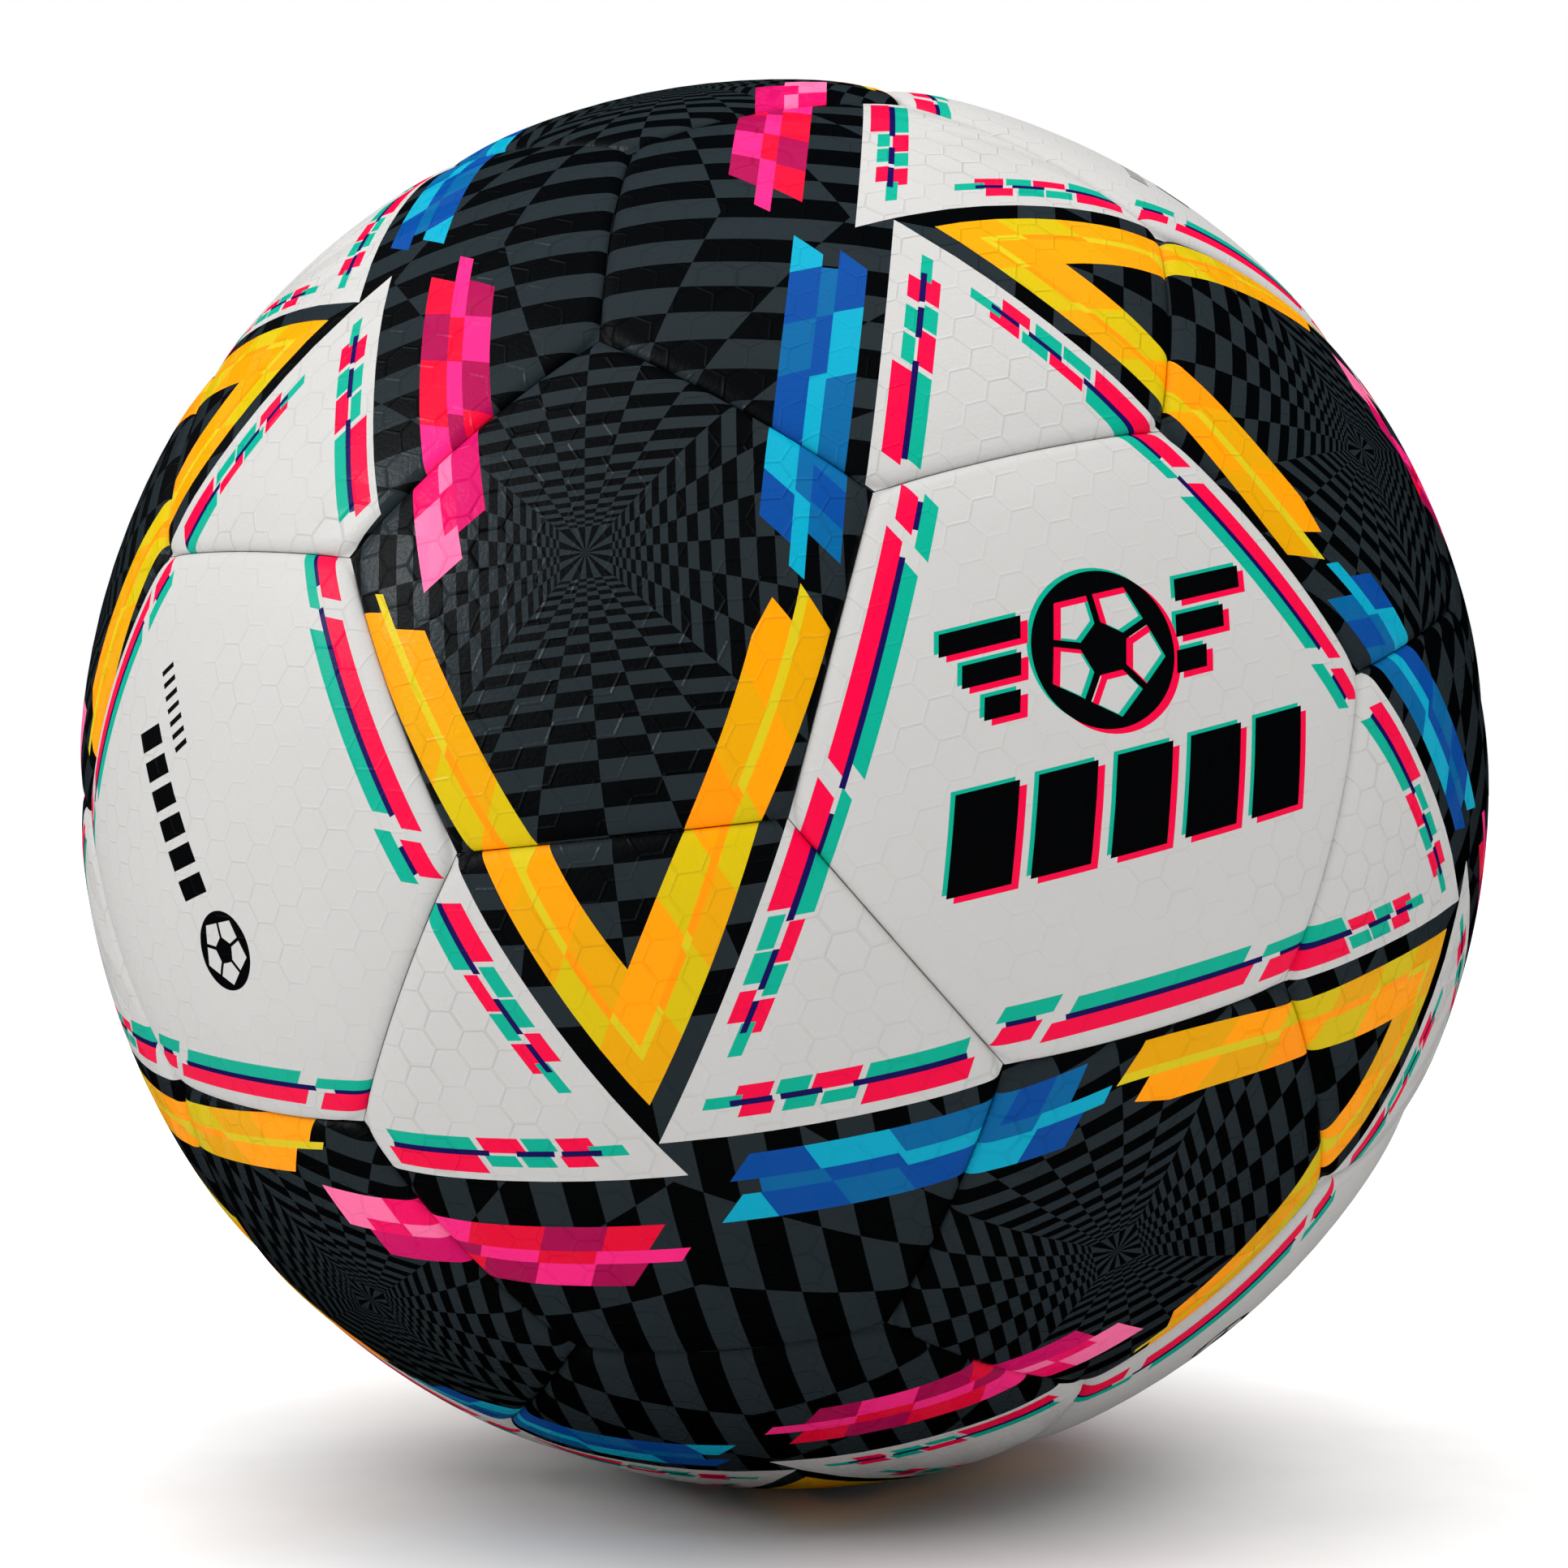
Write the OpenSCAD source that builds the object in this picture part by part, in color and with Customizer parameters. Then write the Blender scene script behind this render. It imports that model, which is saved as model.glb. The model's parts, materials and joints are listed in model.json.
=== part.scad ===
// Soccer ball, size 5: 32 thermally bonded panels on foam, a fabric carcass and a bladder, with a needle valve.
// The origin is the ball's centre, -Y faces the viewer and +Z is up.
// The layout is a truncated icosahedron: 12 pentagons, 8 white hexagons that face the corners of a cube, and
// 12 dark hexagons that meet in pairs between them. The valve sits in the white hexagon at the back.

/* [Ball] */
// Outer radius, over the middle of a panel
ball_radius = 110; // [108:0.5:112]
// Turn of the panel layout about X
turn_x = -45.4; // [-180:0.1:180]
// Turn of the panel layout about Y, made after the one about X
turn_y = 6.0; // [-180:0.1:180]
// Turn of the panel layout about Z, made last
turn_z = 168.3; // [-180:0.1:180]

/* [Layers] */
// Thickness of a panel's moulded cover
cover_t = 1.8; // [1.6:0.1:2.4]
// Thickness of the foam behind a cover
foam_t = 2.6; // [1.5:0.1:3.5]
// Thickness of the adhesive film that bonds the panels to the carcass
bond_t = 0.3; // [0.2:0.1:0.6]
// Thickness of the fabric carcass
carcass_t = 0.9; // [0.6:0.1:1.4]
// Thickness of the bladder's wall
bladder_t = 0.9; // [0.6:0.1:1.2]

/* [Seams] */
// Gap between two covers at the bottom of a seam
seam_gap = 0.2; // [0.1:0.05:0.4]
// Gap between two foam pads under a seam
foam_gap = 0.6; // [0.4:0.1:1]
// Depth of a seam below the crown of the panels
seam_depth = 1.1; // [0.6:0.1:1.4]
// Width of the sloped shoulder on each side of a seam
shoulder_w = 2.6; // [2:0.1:4]
// How far a cover's corners are clipped where three panels meet
corner_clip = 0.4; // [0.3:0.05:0.8]

/* [Valve] */
// Radius of the hole in the cover for the valve
cover_hole_r = 3.4; // [3.2:0.1:4]
// Outer radius of the valve housing's neck
neck_r = 3.1; // [2.9:0.1:3.1]
// Radius of the valve core's plug
core_r = 2.2; // [2:0.1:2.4]
// Radius of the core's passage for an inflation needle
needle_r = 1.25; // [1.1:0.05:1.4]
// Depth of the needle's passage
needle_depth = 12; // [8:1:14]
// Depth of the valve's face below the ball's surface
valve_recess = 0.5; // [0.3:0.1:1]
// Radius of the housing's flange inside the bladder
flange_r = 14; // [10:1:18]
// Thickness of the flange
flange_t = 0.9; // [0.6:0.1:1.5]
// Outer radius of the housing's cup inside the ball
cup_r = 4.4; // [4:0.1:6]
// Length of the cup below the flange
cup_length = 9; // [8:1:12]
// Radius of the balancing pad opposite the valve
balance_r = 15; // [8:1:20]

/* [Hidden] */
$fn = 128;
phi = (1 + sqrt(5)) / 2;

cover_in_r = ball_radius - cover_t;
foam_in_r = cover_in_r - foam_t;
bond_in_r = foam_in_r - bond_t;
carcass_in_r = bond_in_r - carcass_t;
bladder_in_r = carcass_in_r - bladder_t;
flange_in_r = bladder_in_r - flange_t;
cup_end = flange_in_r - cup_length;
valve_face = ball_radius - valve_recess;
valve_clearance = 0.1;
core_clearance = 0.05;
slit_w = 0.2;
core_tail = 1.5;
lead_in = 0.5;
beyond = ball_radius * 1.5;

knife_reach = 1.5;
knife_half_turn = 34;

function unit(v) = v / norm(v);
function cycled(v, k) = [for (i = [0:2]) v[(i - k + 3) % 3]];
function number(i) = str(i < 9 ? "0" : "", i + 1);

// A panel is [its outward direction, the direction that its own +Y leans to].
signs = [[1, 1], [1, -1], [-1, 1], [-1, -1]];
pentagons = [for (k = [0:2]) for (s = signs)
    [cycled([0, s[0], s[1] * phi], k), -cycled([0, s[0] * phi, s[1] / phi], k)]];
dark_hexagons = [for (k = [0:2]) for (s = signs)
    [cycled([0, s[0] * phi, s[1] / phi], k), cycled([0, s[0], 0], k)]];
white_hexagons = [for (x = [-1, 1]) for (y = [1, -1]) for (z = [1, -1])
    [[x, y, z], [x / phi, 0, z * phi]]];

// A pentagon's corner of the icosahedron and two neighbours give the angle from a panel's middle to its sides.
corner = [0, 1, phi];
next_corner = [phi, 0, 1];
last_corner = [0, -1, phi];
pentagon_side = acos(unit(corner) * unit(4 * corner + next_corner + last_corner));
hexagon_side = acos(unit(corner + next_corner + last_corner) * unit(corner + next_corner));
first_side = 90;

valve_panel = [for (i = [0:7]) if (white_hexagons[i][0] == [1, -1, -1]) i][0];
balance_panel = [for (i = [0:7]) if (white_hexagons[i][0] == [-1, 1, 1]) i][0];

pentagon_names = [for (i = [0:11]) str("pentagon_cover_", number(i))];
dark_names = [for (i = [0:11]) str("dark_hexagon_cover_", number(i))];
white_names = [for (i = [0:7]) str("white_hexagon_cover_", number(i))];

// Moves from a panel's own frame, where it lies across +Z, to its place on the ball.
module at_panel(panel) {
    z = unit(panel[0]);
    y = unit(panel[1] - (panel[1] * z) * z);
    x = cross(y, z);
    rotate([turn_x, turn_y, turn_z])
        multmatrix([for (i = [0:2]) [x[i], y[i], z[i], 0]])
            children();
}

// The spheres lie on their sides, which keeps their poles and their seam off a panel that lies across +Z.
module shell(outer_r, inner_r) {
    rotate([90, 0, 0])
        difference() {
            sphere(r = outer_r);
            sphere(r = inner_r);
        }
}

// Everything outside one side or corner of a panel, whose plane is set back from the ball's centre.
module outside(set_back) {
    translate([-set_back, -beyond, -beyond])
        cube(2 * beyond);
}

// The ring-shaped knife that slopes a cover's edge down into the seam, along the seam's great circle.
module shoulder_knife() {
    slope = seam_depth / shoulder_w;
    rotate([0, 90, 0])
        rotate_extrude(angle = 2 * knife_half_turn, start = 180 - knife_half_turn)
            polygon([
                [ball_radius - seam_depth, 0],
                [ball_radius + knife_reach, -shoulder_w - knife_reach / slope],
                [ball_radius + knife_reach, 0]
            ]);
}

// Places children at each side of a panel, with +X out of the side and +Z out of the ball.
module at_sides(sides, side_angle) {
    for (k = [0:sides - 1])
        rotate([0, side_angle, first_side + k * 360 / sides])
            children();
}

// Places children at each corner of a panel in the same way.
module at_corners(sides, side_angle) {
    half_side = 180 / sides;
    rotate(half_side)
        at_sides(sides, atan(tan(side_angle) / cos(half_side)))
            children();
}

module cover(sides, side_angle) {
    difference() {
        shell(ball_radius, cover_in_r);
        at_sides(sides, side_angle) {
            outside(seam_gap / 2);
            shoulder_knife();
        }
        at_corners(sides, side_angle)
            outside(corner_clip);
    }
}

module foam(sides, side_angle) {
    difference() {
        shell(cover_in_r, foam_in_r);
        at_sides(sides, side_angle)
            outside(foam_gap / 2);
    }
}

module valve_hole(r) {
    cylinder(r = r, h = beyond);
}

module pentagon_cover(i) {
    color("#101316")
        at_panel(pentagons[i])
            rotate(180)
                cover(5, pentagon_side);
}

module white_hexagon_cover(i) {
    color("#e8e6e3")
        at_panel(white_hexagons[i])
            difference() {
                cover(6, hexagon_side);
                if (i == valve_panel)
                    valve_hole(cover_hole_r);
            }
}

module dark_hexagon_cover(i) {
    color("#1c2225")
        at_panel(dark_hexagons[i])
            cover(6, hexagon_side);
}

module foam_pentagons() {
    color("#f2f0ea")
        for (panel = pentagons)
            at_panel(panel)
                rotate(180)
                    foam(5, pentagon_side);
}

module foam_white_hexagons() {
    color("#f2f0ea")
        for (i = [0:7])
            at_panel(white_hexagons[i])
                difference() {
                    foam(6, hexagon_side);
                    if (i == valve_panel)
                        valve_hole(cover_hole_r);
                }
}

module foam_dark_hexagons() {
    color("#f2f0ea")
        for (panel = dark_hexagons)
            at_panel(panel)
                foam(6, hexagon_side);
}

// A complete layer of the ball, open only where the valve passes.
module layer(outer_r, inner_r, hole_r) {
    at_panel(white_hexagons[valve_panel])
        difference() {
            shell(outer_r, inner_r);
            valve_hole(hole_r);
        }
}

module bond_film() {
    color("#d9cfa8")
        layer(foam_in_r, bond_in_r, cover_hole_r);
}

module carcass() {
    color("#e9e4d6")
        layer(bond_in_r, carcass_in_r, neck_r + valve_clearance);
}

module bladder() {
    color("#2a2a2c")
        layer(carcass_in_r, bladder_in_r, neck_r + valve_clearance);
}

// The rubber housing: a neck up to the ball's face, a flange bonded inside the bladder, and a cup for the core.
module valve_housing() {
    color("#18191b")
        at_panel(white_hexagons[valve_panel])
            difference() {
                union() {
                    translate([0, 0, flange_in_r + flange_t / 2])
                        cylinder(r = neck_r, h = valve_face - flange_in_r - flange_t / 2);
                    intersection() {
                        shell(bladder_in_r, flange_in_r);
                        cylinder(r = flange_r, h = beyond);
                    }
                    translate([0, 0, cup_end])
                        cylinder(r = cup_r, h = cup_length + flange_t / 2);
                }
                translate([0, 0, cup_end - 1])
                    cylinder(r = core_r + core_clearance, h = beyond);
            }
}

// The soft plug that takes the needle. A slit through its closed end seals when the needle is out.
module valve_core() {
    core_length = valve_face - cup_end + core_tail;
    color("#26282b")
        at_panel(white_hexagons[valve_panel])
            translate([0, 0, valve_face - core_length])
                difference() {
                    cylinder(r = core_r, h = core_length);
                    translate([0, 0, core_length - needle_depth])
                        cylinder(r = needle_r, h = needle_depth + 1);
                    translate([0, 0, core_length - lead_in])
                        cylinder(r1 = needle_r, r2 = needle_r + 2 * lead_in, h = 2 * lead_in);
                    translate([-slit_w / 2, -needle_r, -1])
                        cube([slit_w, 2 * needle_r, core_length - needle_depth + 1.5]);
                }
}

// A thin pad on the bladder's inner wall, opposite the valve, that balances the valve's weight.
module balance_pad() {
    color("#2a2a2c")
        at_panel(white_hexagons[balance_panel])
            intersection() {
                shell(bladder_in_r, flange_in_r);
                cylinder(r = balance_r, h = beyond);
            }
}

for (i = [0:11]) pentagon_cover(i);
for (i = [0:7]) white_hexagon_cover(i);
for (i = [0:11]) dark_hexagon_cover(i);
foam_pentagons();
foam_white_hexagons();
foam_dark_hexagons();
bond_film();
carcass();
bladder();
valve_housing();
valve_core();
balance_pad();
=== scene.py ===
"""Looks of a thermally bonded soccer ball: 32 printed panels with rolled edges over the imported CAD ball.

Panels are worked out in a panel's own frame, where it lies across +Z, in millimetres. Printed shapes use
the panel's flattened coordinates: distance and direction from its middle, along the ball.
"""

import json
import math

import bpy
import numpy as np
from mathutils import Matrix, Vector


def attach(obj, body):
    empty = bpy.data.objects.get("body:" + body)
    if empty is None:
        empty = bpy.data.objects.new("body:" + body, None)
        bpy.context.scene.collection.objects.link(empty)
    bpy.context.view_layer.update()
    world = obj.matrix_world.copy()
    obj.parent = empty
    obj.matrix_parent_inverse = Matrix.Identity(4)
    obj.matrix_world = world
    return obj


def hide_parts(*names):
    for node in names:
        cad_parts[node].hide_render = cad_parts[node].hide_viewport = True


MM = 0.001
R = 110.0
TURN = (-45.4, 6.0, 168.3)
PHI = (1 + math.sqrt(5)) / 2

SEAM_HALF_GAP = 0.05
SEAM_DEPTH = 1.15
SHOULDER_W = 2.1
PUFF_DEPTH = 0.55
PUFF_REACH = 5.0
CORNER_SHARPNESS = 0.8
COVER_T = 1.75
SIDE_STEPS = 28
EDGE_INSETS = (0, 0.1, 0.25, 0.45, 0.7, 1.0, 1.35, 1.75, 2.2, 2.7, 3.3, 4.1, 5.2)
INSETS = EDGE_INSETS + (6.6, 8.4, 10.8, 13.8, 17.5, 22, 27, 32)
UNDER_INSETS = (0, 6, 14, 24, 32)
VALVE_HOLE_R = 3.4


def cycled(v, k):
    """The three numbers of v moved on by k places."""
    return [v[(i - k + 3) % 3] for i in range(3)]


def unit(v):
    v = np.array(v, float)
    return v / np.linalg.norm(v)


def turned(axis, degrees):
    """The matrix that turns by so many degrees about axis 0, 1 or 2."""
    c, s = math.cos(math.radians(degrees)), math.sin(math.radians(degrees))
    i, j = [(1, 2), (2, 0), (0, 1)][axis]
    m = np.eye(3)
    m[i, i] = m[j, j] = c
    m[i, j], m[j, i] = -s, s
    return m


LAYOUT = turned(2, TURN[2]) @ turned(1, TURN[1]) @ turned(0, TURN[0])


def panel_matrix(outward, lean):
    """Columns are the panel's own X, Y and Z in the row frame."""
    z = unit(outward)
    y = unit(np.array(lean, float) - np.dot(lean, z) * z)
    return LAYOUT @ np.stack([np.cross(y, z), y, z], axis=1)


SIGNS = [(1, 1), (1, -1), (-1, 1), (-1, -1)]
PENTAGONS = [
    panel_matrix(cycled([0, a, b * PHI], k), [-q for q in cycled([0, a * PHI, b / PHI], k)])
    for k in range(3)
    for a, b in SIGNS
]
DARK_HEXAGONS = [
    panel_matrix(cycled([0, a * PHI, b / PHI], k), cycled([0, a, 0], k)) for k in range(3) for a, b in SIGNS
]
WHITE_CORNERS = [(x, y, z) for x in (-1, 1) for y in (1, -1) for z in (1, -1)]
WHITE_HEXAGONS = [panel_matrix((x, y, z), (x / PHI, 0, z * PHI)) for x, y, z in WHITE_CORNERS]
VALVE_CORNER = (1, -1, -1)
COLUMN_SHIFTS = (0, 2.2, 4.6, 1.1, 4.6, 2.2, 0, 3.4, 1.1, 4.6, 2.2, 3.4)

CORNER, NEXT, LAST = (0, 1, PHI), (PHI, 0, 1), (0, -1, PHI)
PENTAGON_SIDE = math.acos(unit(CORNER) @ unit(4 * np.array(CORNER) + NEXT + LAST))
HEXAGON_SIDE = math.acos(unit(np.add(CORNER, NEXT) + LAST) @ unit(np.add(CORNER, NEXT)))


# ---------------------------------------------------------------- panel shape


def side_normals(sides, first_side, side_angle):
    """Unit normals of the planes through the ball's centre and each side, pointing out of the panel."""
    azimuths = [math.radians(first_side + 360 * k / sides) for k in range(sides)]
    c, s = math.cos(side_angle), math.sin(side_angle)
    return np.array([[c * math.cos(a), c * math.sin(a), -s] for a in azimuths])


def edge_depth(inset):
    """How far the surface lies below the crown at a distance from the panel's edge."""
    t = np.clip(1 - inset / SHOULDER_W, 0, 1)
    rolled = SEAM_DEPTH * (1 - np.sqrt(1 - np.minimum(t, 0.999) ** 2))
    return rolled + PUFF_DEPTH * np.exp(-((np.maximum(inset, 0) / PUFF_REACH) ** 2))


def panel_shape(sides, first_side, side_angle, hole_r=0.0):
    """Vertices in the panel's frame, their flattened coordinates, and faces."""
    normals = side_normals(sides, first_side, side_angle)
    corner_angle = math.atan(math.tan(side_angle) / math.cos(math.pi / sides))
    corner_azimuths = [math.radians(first_side + 360 * (k - 0.5) / sides) for k in range(sides)]
    out, up = math.sin(corner_angle), math.cos(corner_angle)
    corners = [np.array([out * math.cos(a), out * math.sin(a), up]) for a in corner_azimuths]
    rim = []
    for k in range(sides):
        a, b = corners[k], corners[(k + 1) % sides]
        for i in range(SIDE_STEPS):
            t = (1 - math.cos(math.pi * i / SIDE_STEPS)) / 2
            rim.append(unit(a * (1 - t) + b * t))
    rim = np.array(rim)
    azimuth = np.arctan2(rim[:, 1], rim[:, 0])
    reach = np.arccos(rim[:, 2]) * R
    apothem = side_angle * R
    shrink = 1 - SEAM_HALF_GAP / apothem

    def ring(inset):
        rho = (hole_r + (reach - hole_r) * (1 - inset / apothem)) * shrink
        return np.stack([rho * np.cos(azimuth), rho * np.sin(azimuth)], axis=1)

    def lifted(flat, radius):
        rho = np.maximum(np.hypot(flat[:, 0], flat[:, 1]), 1e-9)
        s = np.sin(rho / R) / rho
        return np.stack([flat[:, 0] * s, flat[:, 1] * s, np.cos(rho / R)], axis=1) * radius[:, None]

    n = len(rim)
    innermost = ring(apothem) if hole_r else np.zeros((1, 2))
    insets = [i for i in INSETS if i < apothem - hole_r]
    top = np.concatenate([ring(i) for i in insets] + [innermost])
    sphere = lifted(top, np.ones(len(top)))
    inset = -(np.arcsin(np.clip(sphere @ normals.T, -1, 1)) * R)
    inset = -np.log(np.exp(-CORNER_SHARPNESS * inset).sum(axis=1)) / CORNER_SHARPNESS
    top_xyz = sphere * (R - edge_depth(inset))[:, None]
    lower = [i for i in UNDER_INSETS if i < apothem - hole_r]
    under = np.concatenate([ring(i) for i in lower] + [innermost])
    under_xyz = lifted(under, np.full(len(under), R - COVER_T))
    faces = []

    def band(a, b):
        for i in range(n):
            j = (i + 1) % n
            faces.append((a + i, a + j, b + j, b + i))

    def fan(a, tip, flip):
        for i in range(n):
            j = (i + 1) % n
            faces.append((a + j, a + i, tip) if flip else (a + i, a + j, tip))

    for q in range(len(insets) - 1):
        band(q * n, (q + 1) * n)
    base = len(top)
    for q in range(len(lower) - 1):
        band(base + (q + 1) * n, base + q * n)
    band(base, 0)
    if hole_r:
        band((len(insets) - 1) * n, len(insets) * n)
        band(base + len(lower) * n, base + (len(lower) - 1) * n)
        band(len(insets) * n, base + len(lower) * n)
    else:
        fan((len(insets) - 1) * n, base - 1, False)
        fan(base + (len(lower) - 1) * n, base + len(under) - 1, True)
    return np.concatenate([top_xyz, under_xyz]), np.concatenate([top, under]), faces


def add_panel(name, shape, matrix, material, replaced, folds=1, fold_azimuth=270.0, shift=0.0):
    """A panel's mesh in the row frame. The attribute art holds the flattened coordinates and the panel's
    own pattern shift. The attribute fold holds the coordinates turned so that each like sector lies where
    the first one does."""
    xyz, flat, faces = shape
    mesh = bpy.data.meshes.new(name)
    mesh.from_pydata((xyz @ matrix.T * MM).tolist(), [], faces)
    mesh.polygons.foreach_set("use_smooth", [True] * len(faces))
    mesh.materials.append(material)
    art = mesh.attributes.new("art", "FLOAT_VECTOR", "POINT")
    art_values = np.column_stack([flat, np.full(len(flat), shift)])
    art.data.foreach_set("vector", art_values.astype(np.float32).ravel())
    if folds > 1:
        spread = 2 * math.pi / folds
        values = []
        for face in faces:
            points = flat[list(face)]
            middle = points.mean(axis=0)
            off = math.atan2(middle[1], middle[0]) - math.radians(fold_azimuth)
            back = -round(off / spread) * spread
            c, s = math.cos(back), math.sin(back)
            for x, y in points:
                values.append((x * c - y * s, x * s + y * c, 0.0))
        fold = mesh.attributes.new("fold", "FLOAT_VECTOR", "CORNER")
        fold.data.foreach_set("vector", np.array(values, np.float32).ravel())
    mesh.validate()
    mesh.update()
    obj = bpy.data.objects.new(name, mesh)
    bpy.context.scene.collection.objects.link(obj)
    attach(obj, "root")
    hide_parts(replaced)
    return obj


# ---------------------------------------------------------------- printed patterns


def rgb(r, g, b):
    """A screen colour from 0 to 255 as the linear colour that Blender works in."""
    def linear(c):
        c = c / 255
        return c / 12.92 if c <= 0.04045 else ((c + 0.055) / 1.055) ** 2.4

    return (linear(r), linear(g), linear(b), 1.0)


LIT = 1.18  # how much brighter than its own colour a print looks halfway up the ball in this studio


def seen(r, g, b):
    """The colour of a print that looks like this screen colour halfway up the ball."""
    return tuple(c / LIT for c in rgb(r, g, b)[:3]) + (1.0,)


CLEAR = (0.0, 0.0, 0.0, 0.0)
WHITE = seen(193, 192, 190)
BLACK = seen(3, 5, 7)
CHARCOAL = seen(35, 43, 47)
INK = seen(4, 5, 7)
ORANGE = seen(255, 155, 0)
FLAME = seen(255, 145, 0)
AMBER = seen(226, 159, 1)
OLIVE = seen(208, 181, 8)
LIME = seen(212, 190, 26)
RED = seen(228, 2, 50)
HOT = seen(240, 5, 95)
PINK = seen(247, 35, 125)
LIGHT_PINK = seen(250, 110, 160)
MAGENTA = seen(165, 5, 75)
BERRY = seen(206, 6, 97)
CYAN = seen(4, 158, 188)
MID_BLUE = seen(4, 95, 150)
DEEP_BLUE = seen(2, 70, 148)
DASH_PINK = seen(236, 2, 64)
DASH_TEAL = seen(4, 165, 138)
DASH_NAVY = seen(21, 10, 84)


PRINT_SPECULAR = 0.06
INK_ROUGHNESS = 0.54
CHARCOAL_GLOSS = 0.2
WHITE_ROUGHNESS = 0.45
ROUGHNESS_SPREAD = 0.15
DARK_BUMP = 0.18
WHITE_BUMP = 0.12

HONEYCOMB = 5.35
RIDGE_HALF_W = 0.28
FAINTEST_RIDGE = 0.15
PATCHES_PER_MM = 0.09
GRAIN_PER_MM = 1.7
GRAIN_SHARE = 0.45
HANDLING_PER_MM = 0.05
HANDLING = 0.05
GRAIN_SHADE = 0.25
WEAVE_GRAIN = 0.3

SECTORS = 24
SECTOR = math.tau / SECTORS
TUNNEL_X, TUNNEL_Y = -0.85, 5.5
RING_START = 9.8
RING_GROWTH = 1.107
INNER_RING = -11
NEAREST = 1e-4  # keeps the logarithm finite at the tunnel's middle

COLUMN_W = 4.72
COLUMNS_FROM = 1.15
COLUMNS_FALL_TO = (57, 40)
ROWS_FROM = -27.4
ROW_GROWTH = 0.9
TOP_ROW = 2.5
ROWS_FALL_TO = (0.5, -77.3)
LEFT_FIELD_TOP = 1.15
RIGHT_FIELD_RISE = 5.15
FIELD_REACH = 39.3

# Painted shade: where black is painted into the white panels' corner tips, standing in for the shade in the
# seams' pits.
PAINTED_PIT_SHADE_FROM = -40.2
PAINTED_PIT_SHADE_STRAIGHT = 19
PAINTED_PIT_SHADE_ROUNDING = 0.03
DASHES_IN = 0.45
PAST = 60  # farther out than any panel's edge


class Field:
    """A number that shader nodes work out at each point, with Python's arithmetic."""

    def __init__(self, tree, socket):
        self.tree, self.socket = tree, socket

    def math(self, operation, *others):
        return math_node(self.tree, operation, self, *others)

    def __add__(self, other):
        return self.math("ADD", other)

    def __sub__(self, other):
        return self.math("SUBTRACT", other)

    def __rsub__(self, other):
        return math_node(self.tree, "SUBTRACT", other, self)

    def __mul__(self, other):
        return self.math("MULTIPLY", other)

    def __truediv__(self, other):
        return self.math("DIVIDE", other)

    def __abs__(self):
        return self.math("ABSOLUTE")

    def above(self, other):
        return self.math("GREATER_THAN", other)

    def below(self, other):
        return self.math("LESS_THAN", other)

    def within(self, low, high):
        return self.math("COMPARE", (low + high) / 2, (high - low) / 2)


def math_node(tree, operation, *values):
    node = tree.nodes.new("ShaderNodeMath")
    node.operation = operation
    for slot, value in zip(node.inputs, values):
        if isinstance(value, Field):
            tree.links.new(value.socket, slot)
        else:
            slot.default_value = value
    return Field(tree, node.outputs[0])


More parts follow.
